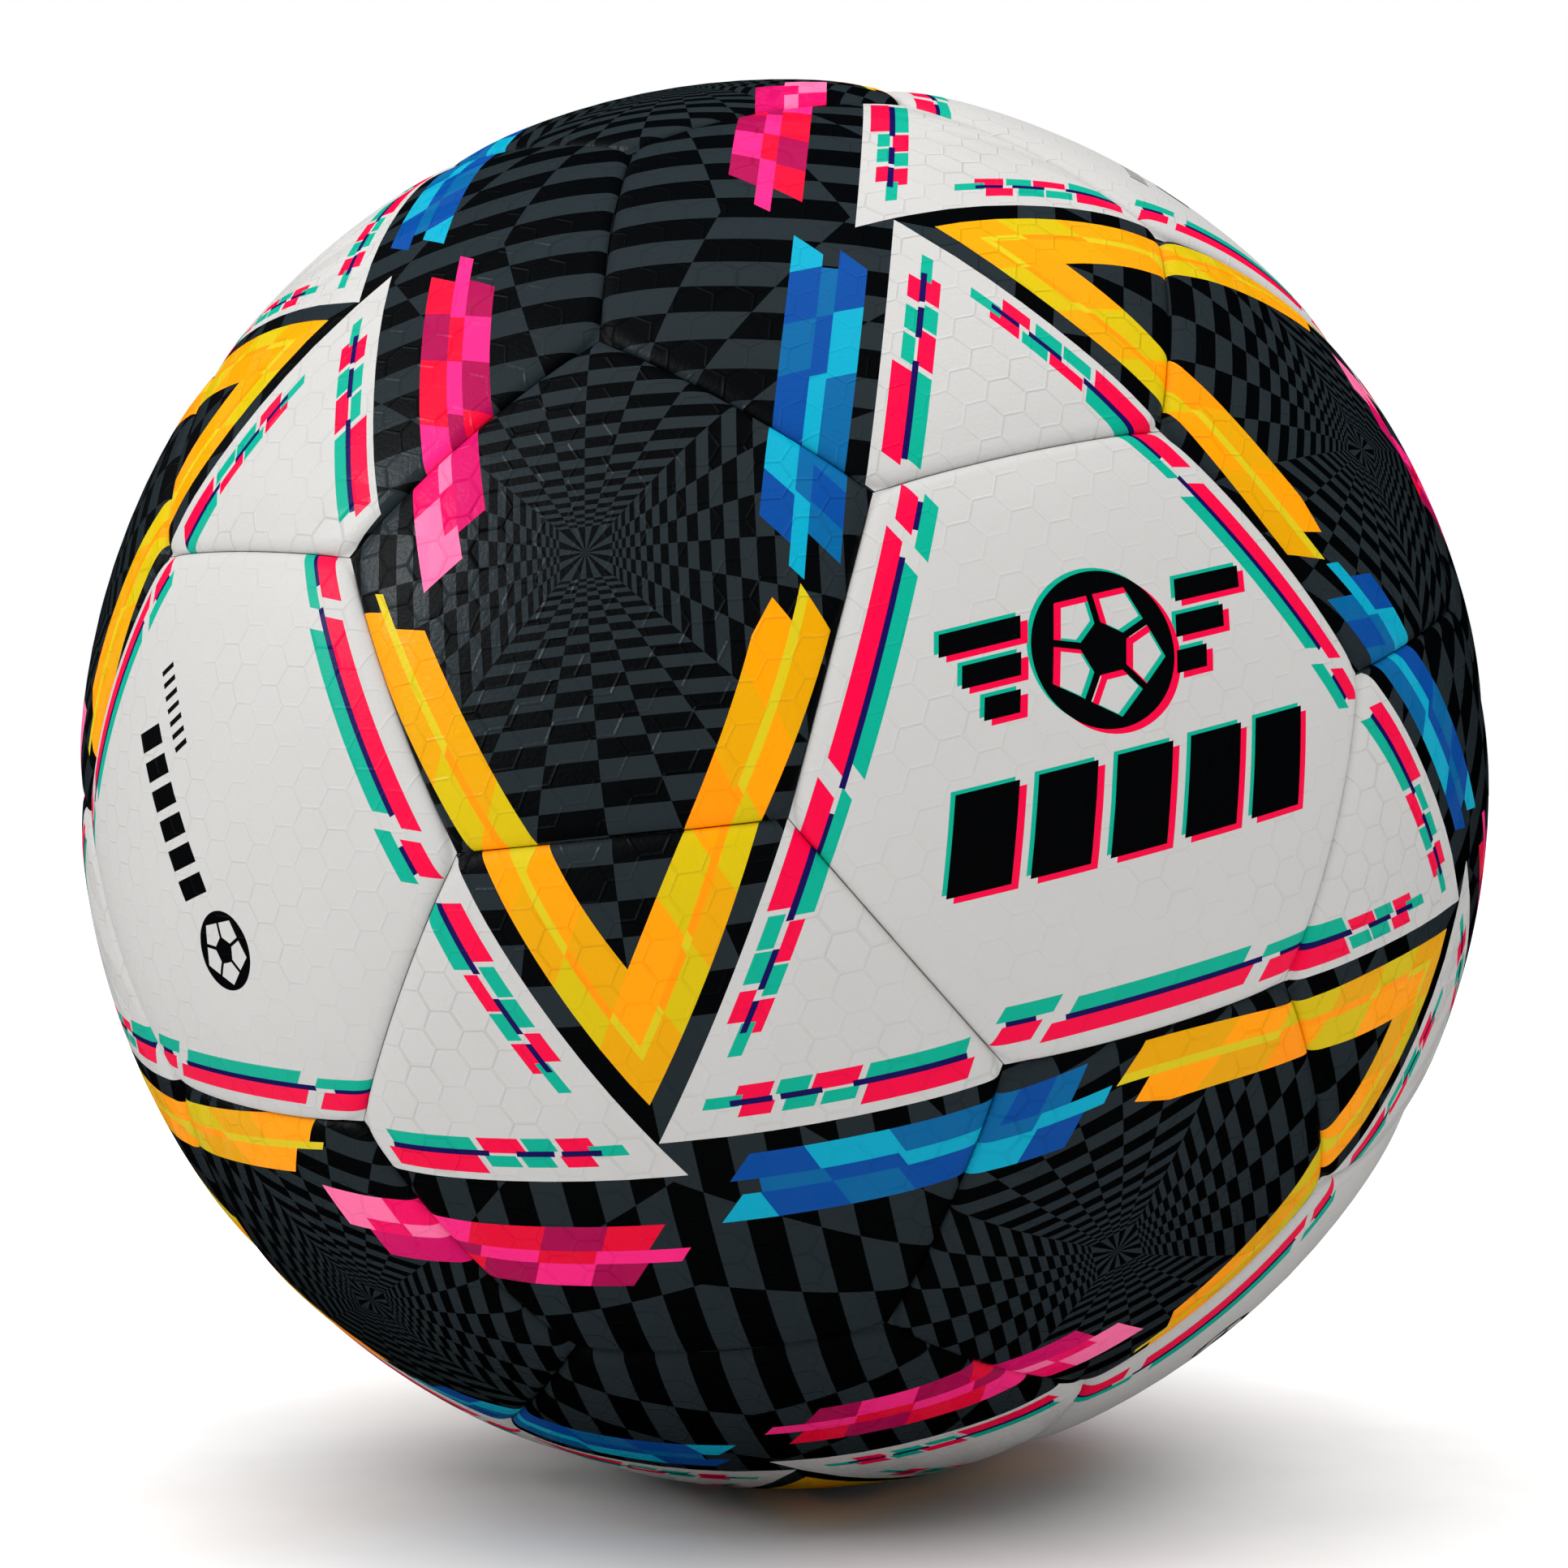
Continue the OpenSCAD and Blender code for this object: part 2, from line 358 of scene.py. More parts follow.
class Print:
    """A panel's printed material, painted one layer over another."""

    def __init__(self, name, base, bump_mm):
        self.material = bpy.data.materials.new(name)
        self.material.use_nodes = True
        self.tree = self.material.node_tree
        self.shader = next(n for n in self.tree.nodes if n.type == "BSDF_PRINCIPLED")
        self.shader.inputs["Specular IOR Level"].default_value = PRINT_SPECULAR
        self.colour = base
        self.x, self.y, self.shift = self.coordinates("art")
        self.emboss(bump_mm)

    def coordinates(self, attribute):
        """The three numbers in an attribute: flattened coordinates and the pattern shift."""
        node = self.tree.nodes.new("ShaderNodeAttribute")
        node.attribute_name = attribute
        split = self.tree.nodes.new("ShaderNodeSeparateXYZ")
        self.tree.links.new(node.outputs["Vector"], split.inputs[0])
        return [Field(self.tree, output) for output in split.outputs]

    def paint(self, mask, colour):
        """Lays a colour, or a ramp's colour, over what is there, where mask is 1."""
        mix = self.tree.nodes.new("ShaderNodeMix")
        mix.data_type = "RGBA"
        self.tree.links.new(mask.socket, mix.inputs["Factor"])
        for slot, value in ((mix.inputs["A"], self.colour), (mix.inputs["B"], colour)):
            if isinstance(value, tuple):
                slot.default_value = value
            else:
                self.tree.links.new(value, slot)
        self.colour = mix.outputs["Result"]

    def cells(self, along, mask, marks):
        """Paints marks (start, end, colour) along a line, inside mask."""
        low, high = marks[0][0] - 1, marks[-1][1] + 1
        span = high - low
        ramp = self.tree.nodes.new("ShaderNodeValToRGB")
        ramp.color_ramp.interpolation = "CONSTANT"
        stops = [(0.0, CLEAR)]
        for k, (start, end, colour) in enumerate(marks):
            stops.append(((start - low) / span, colour))
            if k + 1 == len(marks) or marks[k + 1][0] > end:
                stops.append(((end - low) / span, CLEAR))
        elements = ramp.color_ramp.elements
        while len(elements) < len(stops):
            elements.new(1.0)
        for element, (position, colour) in zip(elements, stops):
            element.position = position
            element.color = colour
        place = math_node(self.tree, "MULTIPLY_ADD", along, 1 / span, -low / span)
        self.tree.links.new(place.socket, ramp.inputs[0])
        self.paint(mask * Field(self.tree, ramp.outputs["Alpha"]), ramp.outputs["Color"])

    def emboss(self, bump_mm):
        """Raised honeycomb lines and a fine grain."""
        step_x, step_y = HONEYCOMB * math.sqrt(3), HONEYCOMB

        def from_middle(shift):
            px = abs((self.x + shift * step_x / 2).math("WRAP", step_x / 2, -step_x / 2))
            py = abs((self.y + shift * step_y / 2).math("WRAP", step_y / 2, -step_y / 2))
            return py.math("MAXIMUM", py * 0.5 + px * (math.sqrt(3) / 2))

        to_line = HONEYCOMB / 2 - from_middle(0).math("MINIMUM", from_middle(1))
        ridge = 1 - to_line.math("MINIMUM", RIDGE_HALF_W) / RIDGE_HALF_W
        patchy = self.noise(PATCHES_PER_MM, 1).math("MULTIPLY_ADD", 1.6, -0.3).math("MINIMUM", 1.0)
        self.grain = self.noise(GRAIN_PER_MM, 3)
        height = ridge * patchy.math("MAXIMUM", FAINTEST_RIDGE) + self.grain * GRAIN_SHARE
        bump = self.tree.nodes.new("ShaderNodeBump")
        bump.inputs["Strength"].default_value = 1.0
        bump.inputs["Distance"].default_value = bump_mm * MM
        self.tree.links.new(height.socket, bump.inputs["Height"])
        self.tree.links.new(bump.outputs[0], self.shader.inputs["Normal"])

    def noise(self, per_mm, detail):
        """Noise from 0 to 1 fixed to the panel, with about so many blots to a millimetre."""
        noise = self.tree.nodes.new("ShaderNodeTexNoise")
        noise.inputs["Scale"].default_value = per_mm / MM
        noise.inputs["Detail"].default_value = detail
        place = self.tree.nodes.new("ShaderNodeTexCoord")
        self.tree.links.new(place.outputs["Object"], noise.inputs["Vector"])
        return Field(self.tree, noise.outputs["Fac"])

    def roughen(self, rough):
        """Sets the roughness, with a little of the grain in it."""
        rough = (self.grain - 0.5) * ROUGHNESS_SPREAD + rough
        self.tree.links.new(rough.socket, self.shader.inputs["Roughness"])

    def done(self):
        """Joins the finished print to the shader, a little darker in soft patches, as handling leaves it."""
        tone = self.noise(HANDLING_PER_MM, 4).math("MULTIPLY_ADD", HANDLING, 1 - HANDLING)
        mix = self.tree.nodes.new("ShaderNodeVectorMath")
        mix.operation = "SCALE"
        self.tree.links.new(self.colour, mix.inputs[0])
        self.tree.links.new(tone.socket, mix.inputs["Scale"])
        self.tree.links.new(mix.outputs[0], self.shader.inputs["Base Color"])
        return self.material


def odd(number):
    """1 where the whole number under number is odd."""
    return number.math("FLOOR").math("FLOORED_MODULO", 2.0)


def unlike(a, b):
    """1 where one of two masks is 1 and the other 0."""
    return abs(a - b)


def curve(along, start, slope, bend=0.0):
    """A line's place across the panel, as it runs along."""
    line = along * slope + start
    return line + along * along * bend if bend else line


def sector(rise, run):
    """Which sector of a turn a direction lies in, counted so that it stays above 0."""
    return rise.math("ARCTAN2", run) / SECTOR + SECTORS


# Marks below are (start, end, colour) in millimetres of the flattened panel. A mark that runs off the panel
# ends at a round number.


def pentagon_print():
    """Checks that fall into a tunnel, under the ends of two coloured bands and of two yellow arms."""
    p = Print("pentagon_print", BLACK, DARK_BUMP)
    tunnel(p)
    pink_band(p)
    blue_band(p)
    left_arm(p)
    right_arm(p)
    return p.done()


def tunnel(p):
    dx, dy = p.x - TUNNEL_X, p.y - TUNNEL_Y
    depth = abs(dx).math("MAXIMUM", abs(dy))
    ring = ((depth / RING_START).math("MAXIMUM", NEAREST).math("LOGARITHM", RING_GROWTH)).math("FLOOR")
    ring = ring.math("MAXIMUM", INNER_RING)
    light = 1 - unlike(odd(ring), odd(sector(dy, dx)))
    p.paint(light, CHARCOAL)
    p.roughen(INK_ROUGHNESS - light * CHARCOAL_GLOSS)


def pink_band(p):
    in_band = p.x - curve(p.y, -23.128, -0.152)
    slant = p.y - in_band * 0.6
    tip = 3.4
    p.cells(slant, in_band.within(0, 4.2) * slant.above(tip), [
        (tip, 14.2, LIGHT_PINK), (14.2, 24.6, HOT), (24.6, 33.4, LIGHT_PINK), (33.4, PAST, RED)])
    p.cells(slant, in_band.within(4.2, 6.3) * slant.above(tip), [
        (tip, 8.2, LIGHT_PINK), (8.2, 14.6, HOT), (14.6, 20.5, LIGHT_PINK), (20.5, 30.8, MAGENTA),
        (30.8, PAST, LIGHT_PINK)])
    p.cells(slant, in_band.within(6.3, 10.6), [
        (7.2, 22.8, BERRY), (22.8, 29.4, RED), (29.4, PAST, BERRY)])


def blue_band(p):
    in_band = p.x - curve(p.y, 20.7, 0.125)
    slant = p.y + in_band * 0.95
    p.cells(slant, in_band.within(0, 4.3), [
        (8.4, 15.0, DEEP_BLUE), (15.0, 23.4, CYAN), (23.4, 33.0, DEEP_BLUE), (33.0, PAST, MID_BLUE)])
    p.cells(slant, in_band.within(4.3, 6.4), [
        (5.4, 15.7, CYAN), (15.7, 24.8, MID_BLUE), (24.8, 35.0, CYAN), (35.0, PAST, DEEP_BLUE)])
    p.cells(slant, in_band.within(6.4, 10.9), [
        (11.6, 16.3, MID_BLUE), (16.3, 21.6, DEEP_BLUE), (21.6, 38.0, MID_BLUE), (38.0, PAST, CYAN)])


def left_arm(p):
    in_arm = p.x - curve(p.y, -29.05, -0.374, 0.0019)
    end = p.y + in_arm * 0.26
    across = p.x - p.y * 0.42
    p.cells(across, in_arm.within(-4.6, -0.6) * end.below(2.05), [
        (-44, -24.4, ORANGE), (-24.4, -15.2, AMBER), (-15.2, -5.7, OLIVE), (-5.7, 10, ORANGE)])
    p.cells(across, in_arm.within(-0.6, 0.6) * end.below(4.9), [(-44, -14.4, LIME), (-14.4, 10, FLAME)])
    p.cells(across, in_arm.within(0.6, 4.75) * end.below(-0.35), [
        (-44, -14.9, ORANGE), (-14.9, -5.6, AMBER), (-5.6, 10, OLIVE)])


def right_arm(p):
    x, y = p.x, p.y
    in_arm = x - curve(y, 27.38, 0.239, -0.0055)
    inner = in_arm.within(-5.3, -0.6) * (y + in_arm).below(-6.55) * (x - y * 0.595).above(24.45)
    end = (y + in_arm * 1.2).below(-1.75)
    across = x + y * 0.42
    p.cells(across, inner, [(-10, 4.8, FLAME), (4.8, 13.9, AMBER), (13.9, 40, ORANGE)])
    p.cells(across, in_arm.within(-0.6, 0.75) * end, [(-10, 5.5, FLAME), (5.5, 40, LIME)])
    p.cells(across, in_arm.within(0.75, 4.65) * end, [
        (-10, 6.2, OLIVE), (6.2, 14.8, ORANGE), (14.8, 40, AMBER)])


def dark_hexagon_print():
    """Falling checks, two coloured bands, the tip of a yellow V, and white fields with dashes either side."""
    p = Print("dark_hexagon_print", BLACK, DARK_BUMP)
    x, y = p.x, p.y
    left_edge = curve(y, 0, 0.66, 0.0021)
    right_edge = curve(y, 1.9, -0.625, -0.0022)
    middle = curve(y, 1.05, 0.0325)
    side = x.above(right_edge.math("MINIMUM", middle))
    into_left, into_right = left_edge - x, x - right_edge
    into_white = into_left + (into_right - into_left) * side
    from_middle = abs(x - middle)

    falling_checks(p, into_left.below(0) * into_right.below(0))
    below_top = y - side * RIGHT_FIELD_RISE
    white = below_top.below(LEFT_FIELD_TOP) * into_white.above(0)
    on_panel = (abs(x) * math.cos(math.radians(30)) + y / 2).below(FIELD_REACH)
    p.paint(white * on_panel, WHITE)

    blue_tip(p)
    pink_tip(p)
    chevron(p)
    top_dashes(p, white, from_middle - 0.8 + side * 2.9, below_top - side * 0.4)
    arm_dashes(p, into_white - side * 0.8, side * 3.0 - y)
    corner = (into_white - side * 0.8).within(0, 9) * (side * 3.0 - y).above(36.1)
    p.paint(side * corner * into_white.above(0), WHITE)
    return p.done()


def falling_checks(p, between_fields):
    """Columns over the whole panel and rows between the white fields, each with fans that swap the checks."""
    x, y = p.x, p.y
    column = (x - COLUMNS_FROM - p.shift) / COLUMN_W
    fan_x, fan_y = COLUMNS_FALL_TO
    upper = unlike(odd(column), odd(sector(fan_y - y, fan_x - abs(x))))
    row = (y - ROWS_FROM) / (y.above(ROWS_FROM) * ROW_GROWTH + COLUMN_W)
    fan_x, fan_y = ROWS_FALL_TO
    lower = unlike(odd(row.math("MINIMUM", TOP_ROW)), odd(sector(x - fan_x, y - fan_y)))
    light = upper + (lower - upper) * (between_fields * y.below(1.9))
    p.paint(light, CHARCOAL)
    p.roughen(INK_ROUGHNESS - light * CHARCOAL_GLOSS)


def blue_tip(p):
    slant, end = p.x + p.y * 0.4, p.x - p.y * 0.86
    p.cells(slant, p.y.within(10.2, 14.4) * end.below(-17.4), [
        (-PAST, -25.4, DEEP_BLUE), (-25.4, -16.7, MID_BLUE), (-16.7, -7.0, DEEP_BLUE), (-7.0, 20, CYAN)])
    p.cells(slant, p.y.within(8.0, 10.2) * p.x.below(-11.2), [
        (-PAST, -26.5, CYAN), (-26.5, -16.7, DEEP_BLUE), (-16.7, 20, MID_BLUE)])
    p.cells(slant, p.y.within(4.1, 8.0) * end.below(-14.2), [
        (-PAST, -27.6, MID_BLUE), (-27.6, -16.4, CYAN), (-16.4, 20, DEEP_BLUE)])


def pink_tip(p):
    slant, end = p.x - p.y * 0.45, p.x - p.y * 0.76
    p.cells(slant, p.y.within(20.3, 24.4) * end.above(-9.1), [
        (-20, 4.4, MAGENTA), (4.4, 12.8, PINK), (12.8, 21.0, MAGENTA), (21.0, PAST, RED)])
    p.cells(slant, p.y.within(18.0, 20.3) * end.above(-13.7), [
        (-20, 4.7, PINK), (4.7, 13.2, RED), (13.2, 22.0, PINK), (22.0, PAST, MAGENTA)])
    p.cells(slant, p.y.within(13.8, 18.0) * end.above(-7.9), [
        (-20, 4.2, RED), (4.2, 13.2, MAGENTA), (13.2, 24.2, RED), (24.2, PAST, PINK)])


def top_dashes(p, white, out, up):
    """Dashes along the top of the white fields, where out runs away from the panel's middle line."""
    lean = out + up * 0.5
    p.cells(lean, white * up.within(-3.1, -0.35), [(26.0, 40.3, DASH_PINK)])
    p.cells(lean, white * up.within(-3.2, -1.45), [
        (9.6, 13.9, DASH_PINK), (15.3, 19.6, DASH_TEAL), (20.3, 24.9, DASH_TEAL)])
    p.cells(lean, white * up.within(-5.9, -3.95), [
        (8.2, 12.9, DASH_PINK), (13.6, 17.8, DASH_TEAL), (25.3, 38.7, DASH_TEAL)])
    p.cells(lean, white * up.within(-5.9, -3.6), [(18.3, 24.4, DASH_PINK)])
    p.cells(lean, white * up.within(-4.6, -3.0), [(4.4, 9.2, DASH_TEAL)])
    p.cells(out, white * up.within(-3.95, -3.1), [
        (9.6, 15.2, DASH_NAVY), (16.2, 21.6, DASH_NAVY), (25.6, 40.8, DASH_NAVY)])


def arm_dashes(p, gap, down):
    """Dashes down the white fields, at a gap from the edge that follows the V."""
    p.cells(down, gap.within(5.05, 7.1), [
        (12.8, 17.1, DASH_PINK), (17.5, 21.3, DASH_TEAL), (21.6, 26.6, DASH_PINK)])
    p.cells(down, gap.within(1.9, 4.2), [
        (14.5, 18.5, DASH_PINK), (19.3, 23.2, DASH_TEAL), (23.5, 27.6, DASH_TEAL)])
    p.cells(down, gap.within(5.5, 8.0), [(27.2, PAST, DASH_TEAL)])
    p.cells(down, gap.within(1.4, 4.5), [(28.3, PAST, DASH_PINK)])
    p.cells(down, gap.within(3.9, 5.8), [(10.0, 14.3, DASH_TEAL)])
    p.cells(down, gap.within(4.2, 5.1), [(13.0, 17.0, DASH_NAVY), (18.4, 23.3, DASH_NAVY)])
    p.cells(down, gap.within(4.5, 5.5), [(26.6, PAST, DASH_NAVY)])


def chevron(p):
    """The tip of a dark hexagon's V: two arms of three columns, cut into cells along the other arm."""
    x, y = p.x, p.y
    from_left = x - curve(y, 4.04, 0.713, 0.0033)
    from_right = curve(y, -2.02, -0.664, -0.0034) - x
    below_fork = y + 23.2
    fork = (x - 0.5 - below_fork * 0.58).above(0)
    fork = fork * (curve(below_fork, 0.5, -0.62, -0.006) - x).above(0)
    whole = from_left.above(0) * from_right.above(0) * (1 - fork)
    p.paint(whole, AMBER)
    p.paint(whole * from_left.above(3.9) * from_right.above(4.1), LIME)
    p.paint(whole * from_left.above(5.1) * from_right.above(5.3), ORANGE)
    across = (x + y * 0.53) * -1
    p.cells(across, whole * from_left.below(3.9), [
        (12.2, 21.8, OLIVE), (21.8, 31.5, AMBER), (31.5, PAST, OLIVE)])
    p.cells(across, whole * from_left.within(3.9, 5.1), [
        (12.2, 20.3, FLAME), (20.3, 22.3, LIME), (22.3, PAST, FLAME)])
    p.cells(across, whole * from_left.above(5.1), [
        (12.2, 21.6, ORANGE), (21.6, 31.3, OLIVE), (31.3, PAST, ORANGE)])
    across = x - y * 0.53
    p.cells(across, whole * from_right.below(4.1), [
        (12.6, 22.2, OLIVE), (22.2, 31.9, AMBER), (31.9, PAST, ORANGE)])
    p.cells(across, whole * from_right.within(4.1, 5.3), [(12.6, 22.2, FLAME), (22.2, PAST, LIME)])
    p.cells(across, whole * from_right.above(5.3), [
        (12.6, 22.2, AMBER), (22.2, 31.9, ORANGE), (31.9, PAST, LIME)])


def white_hexagon_print(name, marks):
    """A white field with painted shade, black painted into its corner tips where the seams' pits lie, with
    the same dashes along three of its sides, and a badge or bars if asked for.
    """
    p = Print(name, WHITE, WHITE_BUMP)
    x, y, _ = p.coordinates("fold")
    p.roughen(WHITE_ROUGHNESS)
    # Painted shade: black painted into the corner tips at the ends of three sides, where the seam's pit lies
    # in shade.
    pit_shade_bend = (abs(x) - PAINTED_PIT_SHADE_STRAIGHT).math("MAXIMUM", 0.0)
    p.paint((y - pit_shade_bend * pit_shade_bend * PAINTED_PIT_SHADE_ROUNDING).below(PAINTED_PIT_SHADE_FROM), BLACK)
    y = y - DASHES_IN
    lean = x - (y + 34) * 0.75
    p.cells(lean, y.within(-34.25, -32.2), [(-13.6, 13.9, DASH_TEAL)])
    p.cells(lean, y.within(-37.5, -35.05), [(-15.6, 16.4, DASH_PINK)])
    p.cells(lean, y.within(-33.4, -31.3), [(-24.4, -16.4, DASH_TEAL)])
    p.cells(lean, y.within(-36.6, -34.1), [(-23.0, -17.4, DASH_PINK)])
    p.cells(lean, y.within(-34.6, -33.0), [(17.4, PAST, DASH_TEAL)])
    p.cells(lean, y.within(-38.0, -35.2), [(19.4, PAST, DASH_PINK)])
    p.cells(x, y.within(-34.1, -33.4), [(-22.6, -18.4, DASH_NAVY)])
    p.cells(x, y.within(-35.05, -34.25), [(-14.3, 17.1, DASH_NAVY)])
    p.cells(x, y.within(-35.2, -34.6), [(20.5, PAST, DASH_NAVY)])
    if marks == "badge":
        for shift_x, shift_y, colour in ((-0.5, 0.5, DASH_TEAL), (0.8, -0.8, DASH_PINK), (0, 0, INK)):
            badge(p, p.x - shift_x, p.y - shift_y, colour)
    if marks == "bars":
        small_bars(p)
    return p.done()


def ball_sign(x, y, middle_x, middle_y, size):
    """Where a plain round sign lies: a ring, a pentagon in its middle, spokes, and patches on the ring."""
    bx, by = (x - middle_x) / size, (y - middle_y) / size
    r = (bx * bx + by * by).math("SQRT")
    fifth = math.radians(72)
    turn = bx.math("ARCTAN2", by)
    angle = turn.math("WRAP", fifth / 2, -fifth / 2)
    between = (turn + fifth / 2).math("WRAP", fifth / 2, -fifth / 2)
    ring = r.within(0.86, 1.0)
    middle = (r * between.math("COSINE")).below(0.3)
    spokes = abs(r * angle.math("SINE")).below(0.045) * r.within(0.3, 0.75)
    patches = (r * angle.math("COSINE")).above(0.7) * r.below(0.9)
    return ring.math("MAXIMUM", middle).math("MAXIMUM", spokes).math("MAXIMUM", patches)


def badge(p, x, y, colour):
    """A plain ball sign between slanted bars, over a row of slanted blocks."""
    p.paint(ball_sign(x, y, 0.5, 11.6, 10.4), colour)
    lean = x - (y + 9) * 0.3
    for k in range(3):
        low = 15.5 - 4.6 * k
        marks = [(-29.5 + 3.2 * k, -18.0, colour), (5.5, 17.0 - 3.2 * k, colour)]
        p.cells(lean, y.within(low, low + 2.9), marks)
    blocks = [(start, start + 8.7, colour) for start in (11.4 * k - 26.5 for k in range(5))]
    p.cells(lean, y.within(-14.8, -2.0), blocks)


def small_bars(p):
    """Two plain rows of small bars and a ball sign, set slantwise across the panel."""
    along = p.x * 0.5 - p.y * 0.866
    across = p.x * 0.866 + p.y * 0.5
    thin = [(start, start + 0.8, INK) for start in (2.0 * k - 25.5 for k in range(7))]
    thick = [(start, start + 3.1, INK) for start in (4.6 * k - 18.5 for k in range(6))]
    p.cells(along, across.within(0.4, 3.6), thin)
    p.cells(along - across * 0.2, across.within(-8.2, -2.4), thick)
    p.paint(ball_sign(along, across, 15.4, -4.2, 5.6), INK)


def grained_material(
    name, colour, roughness, grain_per_mm, bump_mm, threads_per_mm=0.0, specular=0.5
):
    """A plain material with a grain in its colour, roughness and height, and woven threads if asked for."""
    material = bpy.data.materials.new(name)
    material.use_nodes = True
    tree = material.node_tree
    shader = next(n for n in tree.nodes if n.type == "BSDF_PRINCIPLED")
    shader.inputs["Specular IOR Level"].default_value = specular
    place = tree.nodes.new("ShaderNodeTexCoord")
    noise = tree.nodes.new("ShaderNodeTexNoise")
    noise.inputs["Scale"].default_value = grain_per_mm / MM
    noise.inputs["Detail"].default_value = 3
    tree.links.new(place.outputs["Object"], noise.inputs["Vector"])
    height = grain = Field(tree, noise.outputs["Fac"])
    if threads_per_mm:
        split = tree.nodes.new("ShaderNodeSeparateXYZ")
        tree.links.new(place.outputs["Object"], split.inputs[0])
        turns = math.tau * threads_per_mm / MM
        waves = [(Field(tree, output) * turns).math("SINE") for output in split.outputs]
        height = waves[0] * waves[1] * waves[2] + grain * WEAVE_GRAIN
    shade = (height - 0.5) * GRAIN_SHADE + 1
    tint = tree.nodes.new("ShaderNodeVectorMath")
    tint.operation = "SCALE"
    tint.inputs[0].default_value = colour[:3]
    tree.links.new(shade.socket, tint.inputs["Scale"])
    tree.links.new(tint.outputs[0], shader.inputs["Base Color"])
    rough = (grain - 0.5) * ROUGHNESS_SPREAD + roughness
    tree.links.new(rough.socket, shader.inputs["Roughness"])
    bump = tree.nodes.new("ShaderNodeBump")
    bump.inputs["Distance"].default_value = bump_mm * MM
    tree.links.new(height.socket, bump.inputs["Height"])
    tree.links.new(bump.outputs[0], shader.inputs["Normal"])
    return material


# ---------------------------------------------------------------- the ball

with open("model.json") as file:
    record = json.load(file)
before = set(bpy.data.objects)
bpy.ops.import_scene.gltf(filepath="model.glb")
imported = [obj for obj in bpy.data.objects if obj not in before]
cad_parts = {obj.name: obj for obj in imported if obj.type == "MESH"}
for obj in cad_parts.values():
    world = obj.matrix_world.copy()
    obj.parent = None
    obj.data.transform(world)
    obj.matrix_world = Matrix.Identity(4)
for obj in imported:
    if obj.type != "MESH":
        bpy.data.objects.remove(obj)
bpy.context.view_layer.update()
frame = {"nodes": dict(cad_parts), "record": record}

pentagon_material = pentagon_print()
dark_material = dark_hexagon_print()
white_materials = {
    marks: white_hexagon_print(f"white_hexagon_{marks}_print", marks) for marks in ("plain", "badge", "bars")
}

pentagon_shape = panel_shape(5, -90, PENTAGON_SIDE)
hexagon_shape = panel_shape(6, 90, HEXAGON_SIDE)
valve_shape = panel_shape(6, 90, HEXAGON_SIDE, VALVE_HOLE_R)

for k, matrix in enumerate(PENTAGONS):
    number = f"{k + 1:02d}"
    add_panel(
        f"pentagon_panel_{number}", pentagon_shape, matrix, pentagon_material,
        f"pentagon_cover_{number}",
    )
for k, matrix in enumerate(DARK_HEXAGONS):
    number = f"{k + 1:02d}"
    add_panel(
        f"dark_hexagon_panel_{number}", hexagon_shape, matrix, dark_material,
        f"dark_hexagon_cover_{number}", shift=COLUMN_SHIFTS[k],
    )
for k, (corner, matrix) in enumerate(zip(WHITE_CORNERS, WHITE_HEXAGONS)):
    number = f"{k + 1:02d}"
    has_valve = corner == VALVE_CORNER
    marks = "plain" if has_valve else "badge" if math.prod(corner) < 0 else "bars"
    shape = valve_shape if has_valve else hexagon_shape
    add_panel(
        f"white_hexagon_panel_{number}", shape, matrix, white_materials[marks],
        f"white_hexagon_cover_{number}", folds=3,
    )

INNER_LOOKS = {
    "foam": dict(colour=rgb(52, 53, 55), roughness=0.9, grain_per_mm=1.2, bump_mm=0.2),
    "adhesive": dict(colour=rgb(216, 206, 168), roughness=0.4, grain_per_mm=0.15, bump_mm=0.1),
    "carcass_fabric": dict(colour=rgb(232, 228, 214), roughness=0.85, grain_per_mm=1.5, bump_mm=0.15,
                           threads_per_mm=0.5),
    "bladder_rubber": dict(colour=rgb(38, 38, 40), roughness=0.5, grain_per_mm=0.6, bump_mm=0.08),
    "valve_rubber": dict(colour=rgb(24, 25, 27), roughness=0.45, grain_per_mm=1.8, bump_mm=0.05),
    "core_rubber": dict(colour=rgb(34, 36, 39), roughness=0.55, grain_per_mm=1.8, bump_mm=0.05),
}
slot_of = {s["node"]: s["material_slot"] for s in frame["record"]["subparts"]}
looks = {slot: grained_material(slot, **look) for slot, look in INNER_LOOKS.items()}
for node, obj in frame["nodes"].items():
    if slot_of[node] in looks:
        obj.data.materials.clear()
        obj.data.materials.append(looks[slot_of[node]])

# ---------------------------------------------------------------- studio

CAMERA_DISTANCE = 4.674 * R * MM
LENS = 73.9
SENSOR = 36.0
FLOOR_SIZE = 60.0
WORLD_LIGHT = 0.38
TOP_LIGHT = 1.48
TOP_SPREAD = 90
LIGHTS_FROM = (-0.85, -0.32, 0.43)
LIGHTS_DISTANCE = 1.2

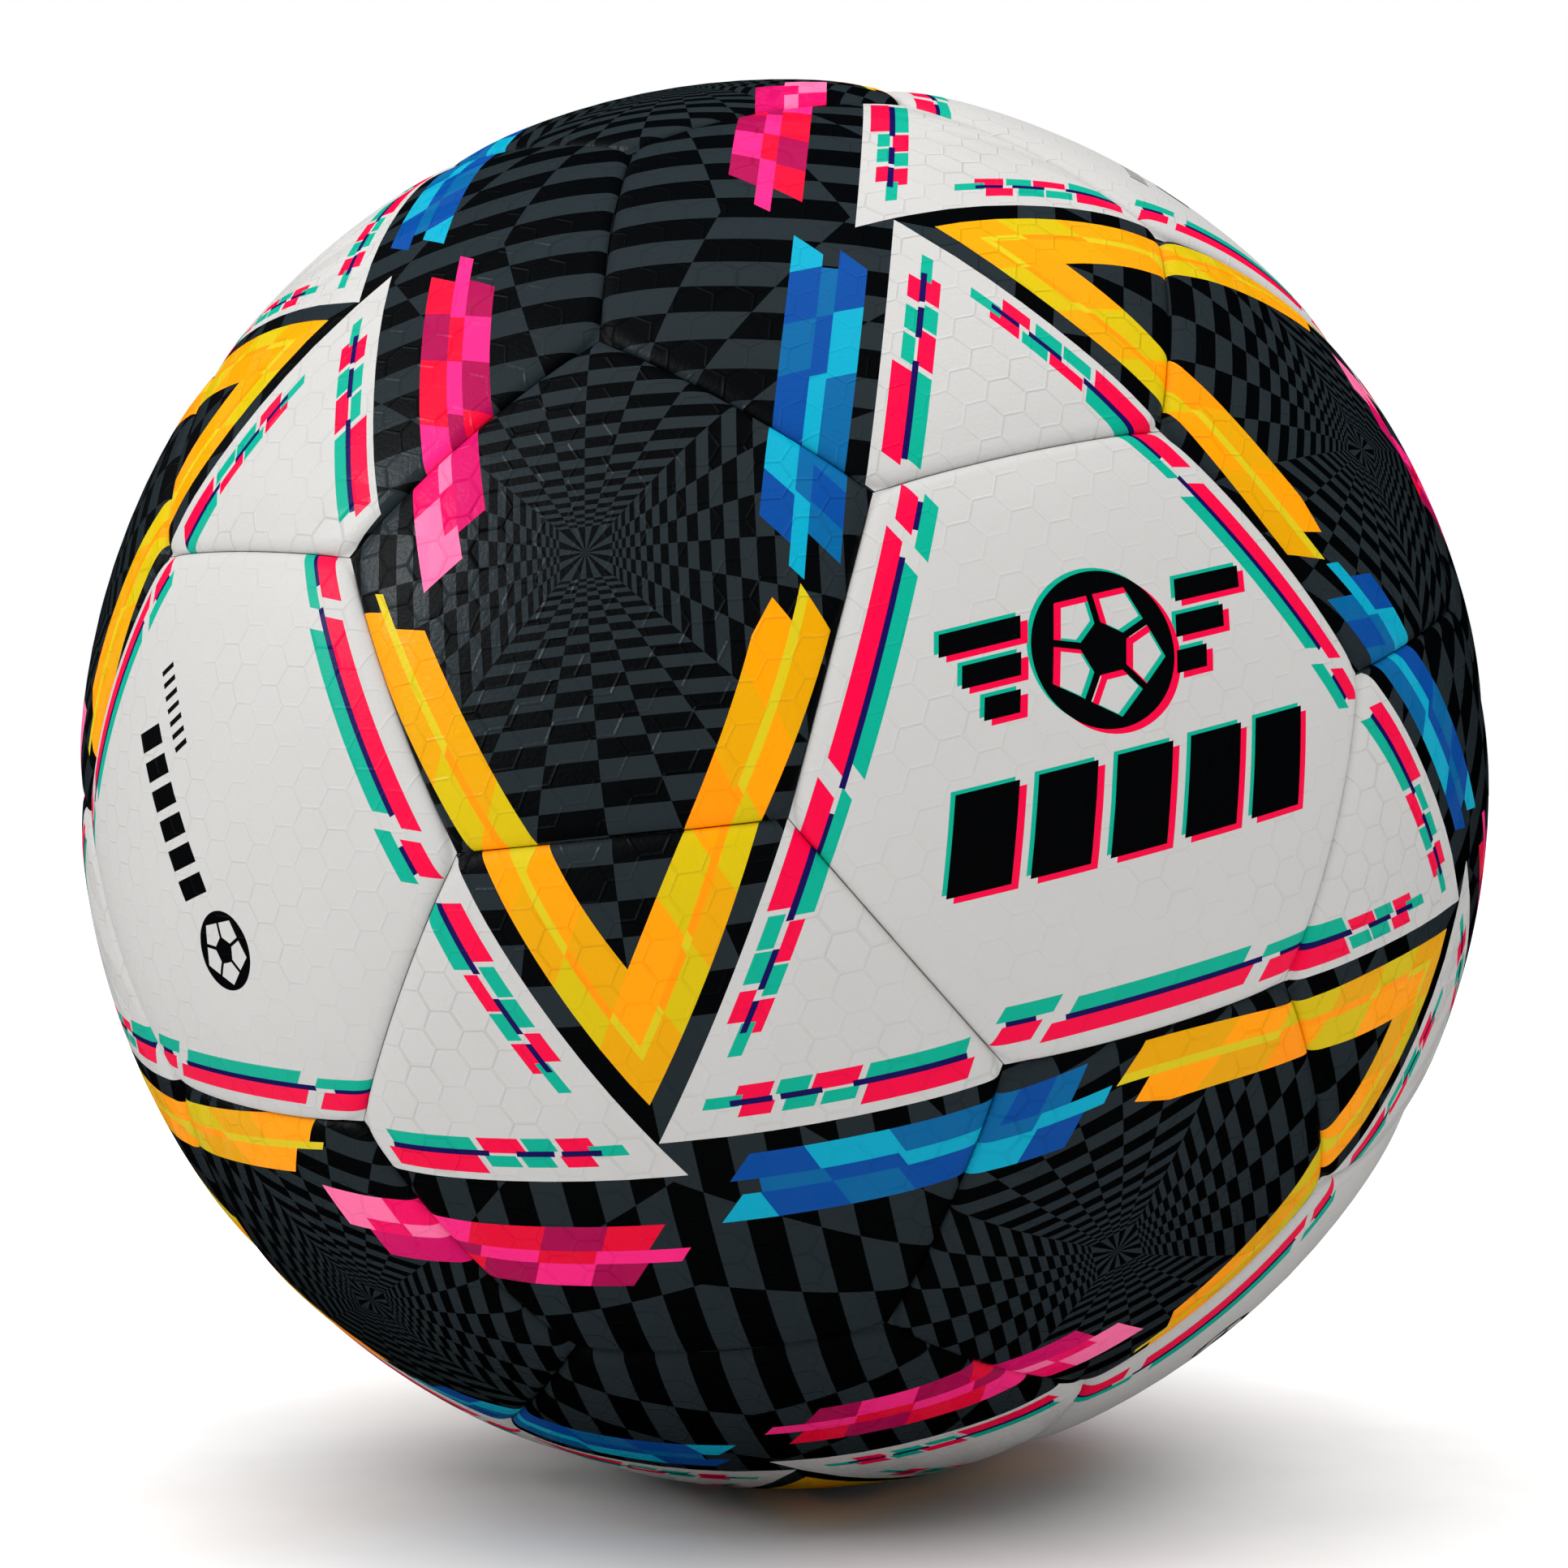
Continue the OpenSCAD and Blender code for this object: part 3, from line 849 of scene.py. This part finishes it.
bpy.ops.mesh.primitive_plane_add(size=FLOOR_SIZE, location=(0, 0, -R * MM))
floor = bpy.context.object
floor.name = "floor"
floor_material = grained_material("floor_white", (0.8, 0.8, 0.8), 0.9, 0.02, 0.0, specular=0.0)
floor.data.materials.append(floor_material)
floor.visible_glossy = False

camera_data = bpy.data.cameras.new("camera")
camera_data.lens = LENS
camera_data.sensor_width = SENSOR
camera_data.clip_start = 0.01
camera = bpy.data.objects.new("camera", camera_data)
camera.location = (0, -CAMERA_DISTANCE, 0)
camera.rotation_euler = (math.radians(90), 0, 0)
bpy.context.scene.collection.objects.link(camera)
bpy.context.scene.camera = camera


def softbox(name, size, watts, only_gloss=False):
    """A square area light that looks at the ball's centre from the left and above."""
    data = bpy.data.lights.new(name, "AREA")
    data.shape = "SQUARE"
    data.size = size
    data.energy = watts
    obj = bpy.data.objects.new(name, data)
    toward = unit(LIGHTS_FROM)
    obj.location = tuple(toward * LIGHTS_DISTANCE)
    obj.rotation_mode = "QUATERNION"
    obj.rotation_quaternion = Vector(tuple(-toward)).to_track_quat("-Z", "Y")
    obj.visible_diffuse = not only_gloss
    bpy.context.scene.collection.objects.link(obj)


softbox("key", 0.45, 4.4)
softbox("glint", 0.3, 8.0, only_gloss=True)

sky_data = bpy.data.lights.new("top", "SUN")
sky_data.energy = TOP_LIGHT * math.pi
sky_data.angle = math.radians(TOP_SPREAD)
sky = bpy.data.objects.new("top", sky_data)
sky.rotation_mode = "QUATERNION"
sky.rotation_quaternion = Vector((0.0, 0.1, -1.0)).to_track_quat("-Z", "Y")
sky.visible_glossy = False
bpy.context.scene.collection.objects.link(sky)

world = bpy.data.worlds.new("studio")
bpy.context.scene.world = world
world.use_nodes = True
world.cycles_visibility.glossy = False
background = next(n for n in world.node_tree.nodes if n.type == "BACKGROUND")
background.inputs["Color"].default_value = (1, 1, 1, 1)
ray = world.node_tree.nodes.new("ShaderNodeLightPath")
seen_directly = Field(world.node_tree, ray.outputs["Is Camera Ray"])
strength = seen_directly.math("MULTIPLY_ADD", 1 - WORLD_LIGHT, WORLD_LIGHT)
world.node_tree.links.new(strength.socket, background.inputs["Strength"])

bpy.context.scene.view_settings.view_transform = "Standard"
